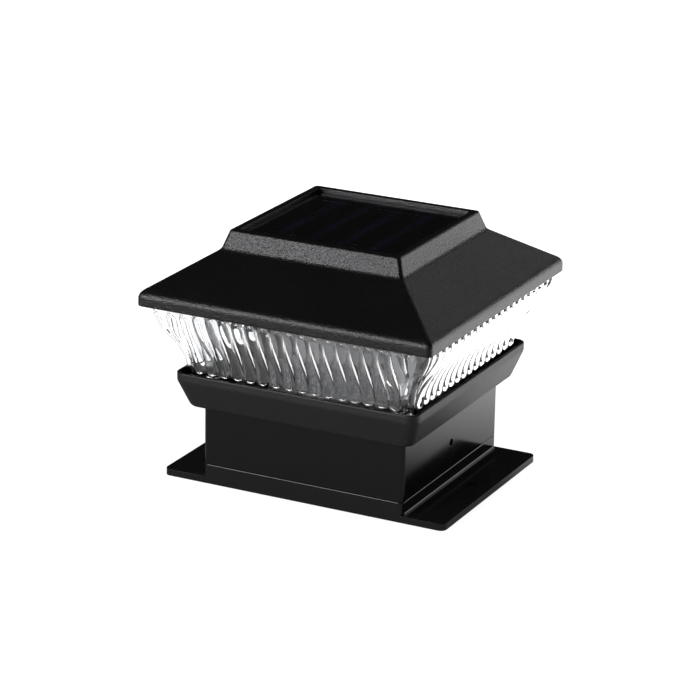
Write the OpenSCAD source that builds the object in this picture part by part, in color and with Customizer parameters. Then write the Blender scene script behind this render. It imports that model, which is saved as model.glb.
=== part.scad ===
// Solar light for the top of a deck post, with a fluted lens and a flat-mount base adapter.
// Millimetres. The origin is the middle of the base's underside, +Z is up and -Y is the front.

/* [Base adapter] */
// Width of the flange across the two screw ears
flange_w = 143.2; // [135:0.2:155]
// Wall of the collar round the sleeve, with its clearance
collar_wall = 1.7; // [1.2:0.1:3]
// Thickness of the flange
flange_t = 3.2; // [2:0.1:5]
// Corner radius of the flange, seen from above
flange_r = 1.8; // [0.5:0.1:4]
// Chamfer along the flange's top edge
flange_bevel = 0.6; // [0.2:0.1:1.2]
// Height of the collar above the flange
collar_h = 7.6; // [5:0.1:14]
// Radius of the screw hole in each ear
ear_hole_r = 2.25; // [1.5:0.05:3]
// Width of the ledge in the base that the sleeve stands on
base_ledge_w = 4.9; // [3:0.1:6]

/* [Post sleeve] */
// Outside width of the square sleeve
sleeve_w = 101.8; // [100:0.2:103]
// Wall of the sleeve
sleeve_wall = 2.2; // [1.6:0.1:3]
// Corner radius of the sleeve
sleeve_r = 2.4; // [1:0.1:4]
// Height from the base's ledge to the underside of the tray
sleeve_h = 35; // [25:0.5:60]
// Thickness of the sleeve's top flange
sleeve_top_t = 2.2; // [1.6:0.1:3]
// Width of the post that the sleeve fits, a nominal four by four
post_w = 88.9; // [85:0.1:90]
// Play of the post between the ribs, on each side
post_play = 0.9; // [0.3:0.1:1.5]
// Radius of the screw hole in each side wall
side_hole_r = 1.75; // [1:0.05:2.5]
// Height of the side holes above the base's ledge
side_hole_h = 18.8; // [12:0.2:26]

/* [Lens tray] */
// How far the tray's side flares out on its way up
tray_flare = 4.7; // [2:0.1:8]
// Wall of the tray's lip
lip_t = 1.6; // [1.2:0.1:3]
// Play of the lens inside the lip, on each side
lens_play = 0.5; // [0.3:0.1:1.2]
// Height of the tray
tray_h = 17; // [14:0.2:24]
// Height of the upright band at the lip
tray_band_h = 3.9; // [2:0.1:6]
// Thickness of the tray's floor
tray_floor_t = 2.8; // [2:0.1:4]
// Depth that the lens sits below the lip
lens_seat_d = 3.2; // [2:0.1:5]
// Corner radius of the tray
tray_r = 5; // [3:0.2:8]

/* [Lens] */
// Width of the lens across its foot
lens_foot_w = 117.8; // [114:0.2:118.4]
// How far the lens's top stands inside the roof's rim, on each side
lens_inset = 0.9; // [0.6:0.1:3]
// Height of the lens that shows between tray and roof
lens_show_h = 33; // [24:0.5:45]
// Flutes in each face, counted at the top
flutes = 22; // [16:2:26]
// How far a flute stands out
flute_d = 1.2; // [0.5:0.1:1.4]
// Wall of the lens behind the flutes
lens_wall = 1.6; // [1.2:0.1:2.4]
// Corner radius of the lens
lens_r = 5; // [4:0.2:7]
// Height of the plain foot below the flutes
lens_foot_h = 3.4; // [3.2:0.1:7]
// Height of the clear screw pillars in the lens's corners
pillar_h = 16; // [12:0.5:20]

/* [Roof] */
// Width of the roof across its rim
roof_w = 146.05; // [145.6:0.05:156]
// Height of the rim, up to where the slope starts
rim_h = 6; // [4:0.1:8]
// Height of the roof from the rim's lower edge to the flat top
roof_h = 32.45; // [26:0.05:40]
// Width where the slope meets the raised panel frame
frame_foot_w = 91.2; // [88:0.2:96]
// Width of the panel frame's flat top
frame_top_w = 85.2; // [82:0.2:87]
// Height of the raised panel frame
frame_h = 8.8; // [7.5:0.1:12]
// Wall of the roof
roof_wall = 2.2; // [1.6:0.1:3]
// Corner radius of the rim
roof_r = 2.2; // [2:0.2:6]
// Corner radius of the panel frame
frame_r = 1.8; // [1:0.1:4]

/* [Solar panel] */
// Width of the square well for the panel
well_w = 78; // [72:0.2:80]
// How deep the panel lies below the frame's flat top
panel_sink = 1.9; // [1:0.1:3]
// Thickness of the clear cover
panel_cover_t = 1; // [0.6:0.1:2]
// Thickness of the panel's board
panel_board_t = 1; // [0.6:0.1:2]
// Number of cells side by side
cells = 4; // [2:1:6]

/* [Lamp housing] */
// Radius of the round drum
drum_r = 38; // [36:0.2:40]
// Height of the drum below the housing's plate
drum_h = 25.2; // [22:0.2:28]
// Wall of the drum and thickness of the plate
drum_wall = 2; // [1.6:0.1:2.6]
// Distance of the corner posts' middles inside the lens's foot, along X and Y
post_inset = 11.9; // [11:0.1:14]
// Radius of the corner posts
post_r = 4.5; // [4:0.1:5]

/* [Battery and switch] */
// Radius of the battery
battery_r = 5.25; // [5:0.05:5.5]
// Length of the battery
battery_len = 44.5; // [40:0.5:45]
// Width of the battery door
door_d = 13; // [12:0.1:14]
// Thickness of the battery door
door_t = 1.6; // [1.2:0.1:2]
// Travel of the switch
switch_travel = 2; // [1.5:0.1:3]

/* [Hidden] */
$fn = 48;
// Overrun of every cut past the face that it opens
over = 1;
// Gap between pieces that lift apart
fit = 0.2;
// Gap round pieces that are fixed together
seat = 0.3;
// Gap of a hinge pin in its lug
pin_fit = 0.08;
// Segments in a quarter corner of the lofted shells
corner_n = 5;

// Base adapter
collar_r = 1;
collar_z = flange_t + collar_h;
socket_w = sleeve_w + 2 * fit;
flange_d = sleeve_w + 2 * collar_wall;
ear_at = (flange_w + flange_d) / 4;
base_hole_w = sleeve_w - 2 * base_ledge_w;

// Post sleeve, standing on the base's ledge
tray_z = flange_t + sleeve_h;
sleeve_in_w = sleeve_w - 2 * sleeve_wall;
rib_clear_w = post_w + 2 * post_play;
rib_t = 1.8;
rib_at = sleeve_in_w / 4;

// Screws
screw_r = 1.5;
pilot_r = screw_r + 0.05;
hole_r = 1.7;
head_r = 2.8;
head_h = 2;
slot_w = 0.8;
slot_d = 0.9;

// Tray and the screws that hold it to the sleeve
tray_lip_w = lens_foot_w + 2 * (lens_play + lip_t);
tray_foot_w = tray_lip_w - 2 * tray_flare;
floor_z = tray_z + tray_floor_t;
lip_z = tray_z + tray_h;
seat_z = lip_z - lens_seat_d;
tray_edge_r = 1.6;
lip_round = 0.5;
ledge_w = 3.8;
tray_screw_at = 36;
screw_to_edge = 5.3;
top_hole_w = 2 * (tray_screw_at - screw_to_edge);
tray_boss_r = 4;
tray_boss_h = 5;
tray_screw_len = sleeve_top_t + tray_floor_t + 0.6 * tray_boss_h;

// Reflector
cone_r = 40;
cone_t = 1.2;
cone_h = 11;
cone_skirt_h = 7;
cone_ring_h = 3;
cone_ring_t = 1.6;
cone_n = 16;
cone_power = 2.2;

// Lens
rim_z = lip_z + lens_show_h;
lens_top_w = roof_w - 2 * lens_inset;
pitch = lens_top_w / flutes;
flute_steps = 3;
flute_end = pitch / 2;
flute_fade = pitch / 2;
flare_share = 1.2;
tongue_h = 2.8;
web_t = 2;
web_h = 7;
web_up = 0.6;
counterbore_h = 8;
lens_screw_len = 18;

// Roof
top_z = rim_z + roof_h;
frame_z = top_z - frame_h;
rim_round = 1.9;
edge_round = 0.5;
frame_round = 0.8;
frame_fillet = 1.2;
roof_in_w = roof_w - 2 * roof_wall;
roof_in_r = 1.2;
tongue_w = roof_in_w - 2 * seat;
slope = (frame_z - rim_z - rim_h) / (roof_w / 2 - frame_foot_w / 2);
roof_drop = roof_wall * sqrt(1 + slope * slope);
cable_hole_r = 4;
cable_y = 10;

// Housing plate, gasket and the screws that hold the plate in the roof
gasket_t = 1.2;
gasket_w = 2.6;
plate_z = rim_z + tongue_h + gasket_t;
plate_step = 1.6;
plate_in_w = roof_in_w - 2 * plate_step;
plate_w = plate_in_w - 2 * seat;
plate_top = plate_z + drum_wall;
plate_r = 1.5;
roof_boss_in = 13;
roof_boss_at = plate_w / 2 - roof_boss_in;
roof_boss_r = 3.6;
roof_screw_len = 7.5;

// Panel, from its face down
cover_z = top_z - panel_sink - panel_cover_t;
busbar_t = 0.1;
cell_t = 0.2;
board_z = cover_z - busbar_t - cell_t - panel_board_t;
seal_t = 1;
seal_w = 3.2;
well_z = board_z - seal_t;
well_floor_t = 2;
well_r = 1.2;
panel_w = well_w - 2 * seat;
panel_r = 0.8;
cell_margin = 7.6;
cell_gap = 1;
cell_w = (panel_w - 2 * cell_margin - (cells - 1) * cell_gap) / cells;
cell_len = panel_w - 2 * cell_margin;
busbar_w = 0.9;
busbar_in = 3.1;

// Lamp housing
drum_z = plate_z - drum_h;
drum_in_r = drum_r - drum_wall;
post_at = lens_foot_w / 2 - post_inset;
post_z = seat_z + pillar_h;
ring_lip = 0.5;
ring_h = 1.5;

// Battery bay, its door and hinge
battery_y = 18.6;
contact_t = 0.5;
spring_room = 2.5;
ledge = 1;
bay_w = battery_len + spring_room + 2 * contact_t;
door_w = bay_w + 2 * ledge;
bay_play = 0.5;
bay_d = 2 * (battery_r + bay_play);
bay_wall = 1.2;
bay_out_w = door_w + 2 * (seat + bay_wall);
bay_out_d = door_d + 2 * (seat + bay_wall);
bay_h = 2 * (battery_r + bay_play);
battery_z = drum_z + drum_wall + battery_r;
battery_x = bay_w / 2 - contact_t - battery_len;
button_r = 1.9;
button_h = 1;
contact_w = 8;
tab_w = 2.4;
tab_h = 1.5;
spring_wire_r = 0.35;
spring_turns = 2.5;
spring_small_r = 2.2;
spring_big_r = 3.8;
hinge_in = 1.6;
barrel_r = 1.5;
pin_r = 0.8;
hinge_y = battery_y + door_d / 2 - hinge_in;
hinge_z = drum_z - 0.75 * barrel_r;
lug_t = 1.9;
lug_r = 1.5;
door_bevel = 0.6;
catch_w = 10;
catch_d = 2.2;

// Circuit board and lamps
pcb_gap = 3;
pcb_t = 1.6;
pcb_z = drum_z + drum_wall + pcb_gap;
pcb_w = bay_w;
pcb_edge = 2;
pcb_screw_in = 4;
pcb_front = 8.5;
pcb_back = sqrt(pow(drum_in_r - pcb_edge, 2) - pow(pcb_w / 2, 2));
pcb_screw_x = pcb_w / 2 - pcb_screw_in;
pcb_screw_front = 5;
pcb_screw_back = pcb_back - pcb_screw_in;
standoff_r = 2.6;
board_screw_r = 1;
board_pilot_r = board_screw_r + 0.05;
board_hole_r = 1.1;
board_head_r = 1.9;
board_head_h = 1.3;
board_screw_len = 4;
lamp_at = 6;
lamp_r = 2.5;
lamp_rim = 0.4;
lamp_rim_h = 0.9;
lamp_drop = 2.2;
lamp_lead_r = 0.3;
lamp_lead_at = 1.27;

// Switch
switch_x = pcb_screw_x;
switch_y = 6;
switch_w = 9;
switch_d = 5;
knob_w = 3;
knob_d = 2;
pad_w = 4.2;
pad_d = 3.2;
pad_h = 1.4;
knob_in = 1.4;
knob_head_w = 4.2;
knob_head_d = 3.4;
knob_head_h = 0.9;

// Leads
lead_r = 0.6;
lead_sides = 8;
lead_gap = 1.4;
lead_bow = 2.5;
lead_rise = 2.6;
lead_end = 0.8;

// Points of a rounded square of half width h and corner radius r, at height z
function square_ring(h, r, z) = [
  for (k = [0:3], i = [0:corner_n])
    let (a = 90 * k + 90 * i / corner_n, c = 90 * k + 45)
    [(h - r) * sqrt(2) * cos(c) + r * cos(a), (h - r) * sqrt(2) * sin(c) + r * sin(a), z]
];

// Side faces between rings i and j of m points
function band(i, j, m) = [
  for (p = [0:m - 1])
    each [
      [i * m + p, j * m + p, i * m + (p + 1) % m],
      [i * m + (p + 1) % m, j * m + p, j * m + (p + 1) % m]
    ]
];

// A solid through a stack of rings, closed by a flat face at each end
module ring_solid(rings) {
  m = len(rings[0]);
  n = len(rings);
  polyhedron(
    points = [for (ring = rings) each ring],
    faces = [
      [for (p = [0:m - 1]) p],
      each [for (i = [0:n - 2]) each band(i, i + 1, m)],
      [for (p = [m - 1:-1:0]) (n - 1) * m + p]
    ]
  );
}

// A hollow solid whose rings go up the outside and come down the inside
module ring_tube(rings) {
  m = len(rings[0]);
  n = len(rings);
  polyhedron(
    points = [for (ring = rings) each ring],
    faces = [for (i = [0:n - 1]) each band(i, (i + 1) % n, m)]
  );
}

// A rounded square block with true round corners
module block(w, d, h, r) {
  linear_extrude(h)
    rounded_square(w, d, r);
}

module rounded_square(w, d, r) {
  union() {
    square([w - 2 * r, d], center = true);
    square([w, d - 2 * r], center = true);
    for (x = [-1, 1], y = [-1, 1])
      translate([x * (w / 2 - r), y * (d / 2 - r)])
        circle(r);
  }
}

module at_corners(a) {
  for (x = [-1, 1], y = [-1, 1])
    translate([x * a, y * a, 0])
      children();
}

// Puts its children in the middle of each side
module at_sides(a) {
  for (t = [0:90:270])
    rotate(t)
      translate([a, 0, 0])
        children();
}

// A screw that points up, with its head below z = 0 and a cross slot in the head
module screw_up(len, r, hr, hh) {
  difference() {
    union() {
      cylinder(h = len, r = r);
      translate([0, 0, -hh])
        cylinder(h = hh, r = hr);
    }
    for (a = [0, 90])
      rotate(a)
        translate([-hr * 0.7, -slot_w / 2, -hh - over])
          cube([hr * 1.4, slot_w, slot_d + over]);
  }
}

// A point on the curve from a to c that b pulls towards itself
function bend(a, b, c, t) = (1 - t) * (1 - t) * a + 2 * t * (1 - t) * b + t * t * c;

// Height of the roof's slope, and of its underside, at a distance from the middle
function slope_z(x) = rim_z + rim_h + slope * (roof_w / 2 - x);
function slope_in_z(x) = slope_z(x) - roof_drop;
function slope_in_x(z) = roof_w / 2 - (z - rim_z - rim_h + roof_drop) / slope;

// Half width of the frame round the panel, at height z
function frame_half(z) = frame_foot_w / 2 - (frame_foot_w - frame_top_w) / 2 * (z - frame_z) / frame_h;

// Half width of the tray's outside, at height z
function tray_half(z) =
  let (t = (z - tray_z) / (tray_h - tray_band_h))
  tray_foot_w / 2 + (tray_lip_w - tray_foot_w) / 2 * min(1, t);

// Half width of the lens across its flute crests, at height z
function lens_half(z) =
  let (
    t = (z - seat_z - lens_foot_h) / (rim_z - seat_z - lens_foot_h),
    s = pow(max(0, min(1, t)), flare_share)
  )
  lens_foot_w / 2 + (lens_top_w - lens_foot_w) / 2 * s * s * (3 - 2 * s);

// How far a flute stands out, from 0 to 1, at a place along the face and a height
function flute(x, z, reach) =
  let (
    u = 2 * (abs(x) / pitch - floor(abs(x) / pitch)) - 1,
    low = seat_z + lens_foot_h + flute_end,
    high = rim_z - flute_end,
    e = max(0, low - z, z - high) / flute_end
  )
  max(0, 1 - u * u - e * e) * max(0, min(1, (reach - abs(x)) / flute_fade));

// One ring of the lens: flutes at fixed places on the faces, then a plain round corner
function lens_ring(z, half, r, depth) =
  let (
    m = flutes * flute_steps / 2,
    reach = half - r,
    last = lens_top_w / 2
  )
  [
    for (k = [0:3], j = [-m:m - 1])
      let (
        x = j * pitch / flute_steps,
        a = 45 * max(0, abs(x) - reach) / (last - reach),
        along = abs(x) <= reach ? x : sign(x) * (reach + r * sin(a)),
        out = abs(x) <= reach ? half + depth * flute(x, z, reach) : reach + r * cos(a)
      )
      [out * cos(90 * k) - along * sin(90 * k), out * sin(90 * k) + along * cos(90 * k), z]
  ];

// Rings of a round tube along a route, square to it at every point.
// The route never runs along the side direction.
function unit(v) = v / norm(v);
function tube_ring(p, d, side, r, n) =
  let (
    a = unit(cross(side, d)),
    b = cross(d, a)
  )
  [for (i = [0:n - 1]) p + r * (cos(360 * i / n) * a + sin(360 * i / n) * b)];

module tube(route, side, r, n) {
  last = len(route) - 1;
  ring_solid([
    for (i = [0:last])
      tube_ring(route[i], unit(route[min(last, i + 1)] - route[max(0, i - 1)]), side, r, n)
  ]);
}

module base_adapter() {
  color([0.05, 0.05, 0.055])
    difference() {
      union() {
        intersection() {
          block(flange_w, flange_d, flange_t, flange_r);
          bevel_bar(flange_w, flange_d);
          rotate(90)
            bevel_bar(flange_d, flange_w);
        }
        block(flange_d, flange_d, collar_z, collar_r);
      }
      translate([0, 0, flange_t])
        block(socket_w, socket_w, collar_h + over, sleeve_r + fit);
      translate([0, 0, -over])
        block(base_hole_w, base_hole_w, collar_z + 2 * over, sleeve_r);
      for (x = [-1, 1])
        translate([x * ear_at, 0, -over])
          cylinder(h = flange_t + 2 * over, r = ear_hole_r);
    }
}

// A bar as long as w along X, whose section has its two upper edges cut off
module bevel_bar(w, d) {
  rotate([90, 0, 90])
    linear_extrude(w, center = true)
      polygon([
        [-d / 2, 0],
        [d / 2, 0],
        [d / 2, flange_t - flange_bevel],
        [d / 2 - flange_bevel, flange_t],
        [-d / 2 + flange_bevel, flange_t],
        [-d / 2, flange_t - flange_bevel]
      ]);
}

module post_sleeve() {
  stop_z = sleeve_h - sleeve_top_t;
  color([0.06, 0.06, 0.065])
    translate([0, 0, flange_t])
      difference() {
        union() {
          difference() {
            block(sleeve_w, sleeve_w, sleeve_h, sleeve_r);
            translate([0, 0, -over])
              block(sleeve_in_w, sleeve_in_w, stop_z + over, sleeve_r / 2);
          }
          for (a = [0:90:270], y = [-1, 1])
            rotate(a)
              translate([rib_clear_w / 2, y * rib_at - rib_t / 2, flange_t])
                cube([(sleeve_in_w - rib_clear_w) / 2 + sleeve_wall / 2, rib_t, stop_z - flange_t]);
        }
        translate([0, 0, stop_z - over])
          block(top_hole_w, top_hole_w, sleeve_top_t + 2 * over, sleeve_r);
        at_corners(tray_screw_at)
          translate([0, 0, stop_z - over])
            cylinder(h = sleeve_top_t + 2 * over, r = hole_r);
        for (x = [-1, 1])
          translate([x * (sleeve_w - sleeve_wall) / 2, 0, side_hole_h])
            rotate([0, 90, 0])
              cylinder(h = 2 * sleeve_wall, r = side_hole_r, center = true);
      }
}

module tray_screws() {
  color([0.6, 0.6, 0.6])
    at_corners(tray_screw_at)
      translate([0, 0, tray_z - sleeve_top_t])
        screw_up(tray_screw_len, screw_r, head_r, head_h);
}

module lens_tray() {
  pocket_w = tray_lip_w - 2 * lip_t - 2 * ledge_w;
  color([0.1, 0.1, 0.105])
    difference() {
      union() {
        difference() {
          ring_solid([
            for (q = [
              for (i = [0:3])
                let (a = 30 * i)
                [tray_edge_r * (1 - cos(a)), tray_edge_r * (1 - sin(a))]
            ])
              square_ring(tray_half(tray_z + q[0]) - q[1], tray_r - q[1], tray_z + q[0]),
            square_ring(tray_lip_w / 2, tray_r, lip_z - tray_band_h),
            square_ring(tray_lip_w / 2, tray_r, lip_z - lip_round),
            square_ring(tray_lip_w / 2 - lip_round, tray_r - lip_round, lip_z)
          ]);
          translate([0, 0, floor_z])
            block(pocket_w, pocket_w, tray_h, tray_r - lip_t);
        }
        at_corners(tray_screw_at)
          translate([0, 0, tray_z + tray_floor_t / 2])
            cylinder(h = tray_floor_t / 2 + tray_boss_h, r = tray_boss_r);
        translate([0, 0, floor_z - tray_floor_t / 2])
          difference() {
            cylinder(h = tray_floor_t / 2 + cone_ring_h, r = cone_r - cone_t - fit);
            translate([0, 0, -over])
              cylinder(h = tray_floor_t + cone_ring_h + over, r = cone_r - cone_t - fit - cone_ring_t);
          }
      }
      translate([0, 0, seat_z])
        block(tray_lip_w - 2 * lip_t, tray_lip_w - 2 * lip_t, lens_seat_d + over, tray_r - lip_t);
      at_corners(tray_screw_at)
        translate([0, 0, tray_z - over])
          cylinder(h = tray_screw_len, r = pilot_r);
    }
}

module reflector_cone() {
  edge = [
    for (i = [0:cone_n])
      let (r = cone_r * (1 - i / cone_n))
      [r, cone_skirt_h + cone_h * pow(i / cone_n, cone_power)]
  ];
  color([0.75, 0.75, 0.77])
    translate([0, 0, floor_z])
      rotate_extrude()
        polygon(concat(
          [[cone_r, 0]],
          edge,
          [[0, cone_skirt_h + cone_h - 2 * cone_t]],
          [
            for (i = [cone_n - 1:-1:1])
              [edge[i][0] - cone_t, edge[i][1] - cone_t]
          ],
          [[cone_r - cone_t, cone_skirt_h - cone_t], [cone_r - cone_t, 0]]
        ));
}

module lens() {
  low = seat_z + lens_foot_h;
  high = rim_z - flute_end;
  plain = function(z) lens_half(z) - flute_d;
  outer = [
    seat_z,
    low,
    low + flute_end * 0.35,
    low + flute_end,
    low + (high - low) * 0.42,
    low + (high - low) * 0.63,
    low + (high - low) * 0.82,
    high,
    high + flute_end * 0.65,
    rim_z
  ];
  color([0.85, 0.9, 0.95, 0.4])
    difference() {
      union() {
        ring_tube([
          for (z = outer)
            lens_ring(z, plain(z), lens_r, flute_d),
          lens_ring(rim_z, tongue_w / 2, lens_r, 0),
          lens_ring(rim_z + tongue_h, tongue_w / 2, lens_r, 0),
          for (z = [rim_z + tongue_h, high, (low + high) / 2, low, seat_z])
            lens_ring(z, plain(z) - lens_wall, lens_r - lens_wall, 0)
        ]);
        at_corners(post_at)
          translate([0, 0, seat_z])
            cylinder(h = pillar_h, r = post_r);
        for (a = [0:90:270])
          rotate(a + 45)
            corner_web();
      }
      at_corners(post_at)
        translate([0, 0, seat_z - over]) {
          cylinder(h = pillar_h + 2 * over, r = hole_r);
          cylinder(h = counterbore_h + over, r = head_r + fit);
        }
    }
}

// Upright web from a pillar into the wall of the lens's corner
module corner_web() {
  reach = function(z) (lens_half(z) - flute_d - lens_r) * sqrt(2) + lens_r - lens_wall / 2;
  start = post_at * sqrt(2) + (post_r + head_r) / 2;
  rotate([90, 0, 0])
    linear_extrude(web_t, center = true)
      polygon([
        [start, seat_z + web_up],
        [reach(seat_z + web_up), seat_z + web_up],
        [reach(seat_z + web_h), seat_z + web_h],
        [start, seat_z + web_h]
      ]);
}

module lens_screws() {
  color([0.6, 0.6, 0.6])
    at_corners(post_at)
      translate([0, 0, seat_z + counterbore_h])
        screw_up(lens_screw_len, screw_r, head_r, head_h);
}

module lens_gasket() {
  color([0.08, 0.08, 0.08])
    translate([0, 0, plate_z - gasket_t])
      difference() {
        block(tongue_w, tongue_w, gasket_t, plate_r);
        translate([0, 0, -over])
          block(tongue_w - 2 * gasket_w, tongue_w - 2 * gasket_w, gasket_t + 2 * over, plate_r);
      }
}

module roof_shell() {
  half = roof_w / 2;
  foot = frame_foot_w / 2;
  corner = rim_z + rim_h;
  corner_r = function(x) frame_r + (roof_r - frame_r) * max(0, x - foot) / (half - foot);
  rim = [
    for (t = [0:0.25:1])
      bend(
        [half, corner - rim_round],
        [half, corner],
        [half - rim_round, slope_z(half - rim_round)],
        t
      )
  ];
  fillet = [
    for (t = [0:0.5:1])
      bend(
        [foot + frame_fillet, slope_z(foot + frame_fillet)],
        [foot, frame_z],
        [frame_half(frame_z + frame_fillet), frame_z + frame_fillet],
        t
      )
  ];
  color([0.12, 0.12, 0.125])
    difference() {
      ring_solid([
        square_ring(half - edge_round, roof_r, rim_z),
        square_ring(half, roof_r, rim_z + edge_round),
        for (q = concat(rim, fillet))
          square_ring(q[0], corner_r(q[0]), q[1]),
        square_ring(frame_half(top_z - frame_round), frame_r, top_z - frame_round),
        square_ring(frame_half(top_z) - frame_round / 2, frame_r - frame_round / 2, top_z)
      ]);
      difference() {
        ring_solid([
          for (q = [
            [roof_in_w / 2, rim_z - over],
            [roof_in_w / 2, plate_z],
            [plate_in_w / 2, plate_z],
            [plate_in_w / 2, plate_top + seat],
            [slope_in_x(plate_top + seat), plate_top + seat],
            [foot - roof_wall, slope_in_z(foot - roof_wall)],
            [frame_half(well_z - well_floor_t) - roof_wall, well_z - well_floor_t]
          ])
            square_ring(q[0], roof_in_r, q[1])
        ]);
        at_sides(roof_boss_at)
          translate([0, 0, plate_top])
            cylinder(h = roof_h, r = roof_boss_r);
      }
      translate([0, 0, well_z])
        block(well_w, well_w, top_z - well_z + over, well_r);
      translate([0, cable_y, well_z - well_floor_t - over])
        cylinder(h = well_floor_t + 2 * over, r = cable_hole_r);
      at_sides(roof_boss_at)
        translate([0, 0, plate_z])
          cylinder(h = roof_screw_len + over, r = pilot_r);
    }
}

module roof_screws() {
  color([0.6, 0.6, 0.6])
    at_sides(roof_boss_at)
      translate([0, 0, plate_z])
        screw_up(roof_screw_len, screw_r, head_r, head_h);
}

module lamp_housing() {
  bay_z = drum_z + drum_wall;
  color([0.5, 0.5, 0.5])
    difference() {
      union() {
        translate([0, 0, plate_z])
          block(plate_w, plate_w, drum_wall, plate_r);
        difference() {
          translate([0, 0, drum_z])
            cylinder(h = drum_h + drum_wall / 2, r = drum_r, $fn = 96);
          translate([0, 0, bay_z])
            cylinder(h = drum_h + drum_wall, r = drum_in_r, $fn = 96);
        }
        at_corners(post_at)
          translate([0, 0, post_z]) {
            cylinder(h = plate_z - post_z + drum_wall / 2, r = post_r);
            cylinder(h = ring_h, r = post_r + ring_lip);
          }
        for (x = [-1, 1], y = [-pcb_screw_front, pcb_screw_back])
          translate([x * pcb_screw_x, y, drum_z + drum_wall / 2])
            cylinder(h = drum_wall / 2 + pcb_gap, r = standoff_r);
        translate([0, -battery_y, drum_z + drum_wall / 2])
          block(bay_out_w, bay_out_d, drum_wall / 2 + bay_h, bay_wall);
        for (x = [-1, 1])
          translate([x * (door_w / 2 + seat + lug_t / 2), -hinge_y, hinge_z])
            hinge_lug();
      }
      translate([0, 0, plate_z - over])
        cylinder(h = drum_wall + 2 * over, r = drum_in_r, $fn = 96);
      at_corners(post_at)
        translate([0, 0, post_z - over])
          cylinder(h = lens_screw_len, r = pilot_r);
      at_sides(roof_boss_at)
        translate([0, 0, plate_z - over])
          cylinder(h = drum_wall + 2 * over, r = hole_r);
      for (x = [-1, 1], y = [-pcb_screw_front, pcb_screw_back])
        translate([x * pcb_screw_x, y, drum_z + drum_wall / 2])
          cylinder(h = drum_wall + pcb_gap, r = board_pilot_r);
      at_corners(lamp_at)
        translate([0, 0, drum_z - over])
          cylinder(h = drum_wall + 2 * over, r = lamp_r + fit);
      translate([0, -battery_y, drum_z - over])
        block(door_w + 2 * seat, door_d + 2 * seat, over + door_t + seat, seat);
      translate([0, -battery_y, drum_z])
        block(bay_w, bay_d, drum_wall + bay_h + over, bay_play);
      translate([switch_x, switch_y, drum_z - over])
        block(knob_w + switch_travel + 2 * seat, knob_d + 2 * seat, drum_wall + 2 * over, seat);
    }
}

// Ear under the drum with the hole for the door's hinge pin
module hinge_lug() {
  difference() {
    union() {
      rotate([0, 90, 0])
        cylinder(h = lug_t, r = lug_r, center = true);
      translate([-lug_t / 2, -lug_r, 0])
        cube([lug_t, 2 * lug_r, drum_z - hinge_z + drum_wall / 2]);
    }
    rotate([0, 90, 0])
      cylinder(h = lug_t + 2 * over, r = pin_r + pin_fit, center = true);
  }
}

module panel_seal() {
  color([0.07, 0.07, 0.07])
    translate([0, 0, well_z])
      difference() {
        block(panel_w, panel_w, seal_t, panel_r);
        translate([0, 0, -over])
          block(panel_w - 2 * seal_w, panel_w - 2 * seal_w, seal_t + 2 * over, panel_r);
      }
}

module panel_board() {
  color([0.1, 0.25, 0.12])
    translate([0, 0, board_z])
      block(panel_w, panel_w, panel_board_t, panel_r);
}

module solar_cells() {
  color([0.05, 0.04, 0.12])
    for (i = [0:cells - 1])
      translate([(i - (cells - 1) / 2) * (cell_w + cell_gap) - cell_w / 2, -cell_len / 2, cover_z - busbar_t - cell_t])
        cube([cell_w, cell_len, cell_t]);
}

module cell_busbars() {
  color([0.5, 0.5, 0.52])
    for (i = [0:cells - 1], y = [-1, 1])
      translate([
        (i - (cells - 1) / 2) * (cell_w + cell_gap) - cell_w / 2,
        y * (cell_len / 2 - busbar_in) - busbar_w / 2,
        cover_z - busbar_t
      ])
        cube([cell_w, busbar_w, busbar_t]);
}

module panel_cover() {
  color([0.03, 0.03, 0.04, 0.6])
    translate([0, 0, cover_z])
      block(panel_w, panel_w, panel_cover_t, panel_r);
}

module circuit_board() {
  color([0.1, 0.4, 0.2])
    difference() {
      translate([-pcb_w / 2, -pcb_front, pcb_z])
        cube([pcb_w, pcb_front + pcb_back, pcb_t]);
      for (x = [-1, 1], y = [-pcb_screw_front, pcb_screw_back])
        translate([x * pcb_screw_x, y, pcb_z - over])
          cylinder(h = pcb_t + 2 * over, r = board_hole_r);
    }
}

module board_screws() {
  color([0.6, 0.6, 0.6])
    for (x = [-1, 1], y = [-pcb_screw_front, pcb_screw_back])
      translate([x * pcb_screw_x, y, pcb_z + pcb_t])
        mirror([0, 0, 1])
          screw_up(board_screw_len, board_screw_r, board_head_r, board_head_h);
}

// Driver chip, coil and capacitor on top of the board
module driver_parts() {
  chip = [5, 4, 1.6];
  coil_r = 2;
  coil_h = 5;
  cap_r = 2.5;
  cap_h = 7;
  row_y = 14;
  color([0.08, 0.08, 0.08])
    translate([-chip[0] / 2, row_y - chip[1] / 2, pcb_z + pcb_t])
      cube(chip);
  color([0.2, 0.35, 0.25])
    translate([-coil_h * 2, row_y, pcb_z + pcb_t])
      cylinder(h = coil_h, r = coil_r);
  color([0.15, 0.15, 0.3])
    translate([coil_h * 2, row_y, pcb_z + pcb_t])
      cylinder(h = cap_h, r = cap_r);
}

module led_lamps() {
  top = drum_z + drum_wall;
  color([0.95, 0.9, 0.75])
    at_corners(lamp_at) {
      translate([0, 0, top])
        cylinder(h = lamp_rim_h, r = lamp_r + lamp_rim);
      translate([0, 0, drum_z - lamp_drop + lamp_r])
        cylinder(h = top - drum_z + lamp_drop - lamp_r + lamp_rim_h / 2, r = lamp_r);
      translate([0, 0, drum_z - lamp_drop + lamp_r])
        sphere(lamp_r);
      for (x = [-1, 1])
        translate([x * lamp_lead_at, 0, top + lamp_rim_h / 2])
          cylinder(h = pcb_z - top - lamp_rim_h / 2, r = lamp_lead_r);
    }
}

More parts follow.
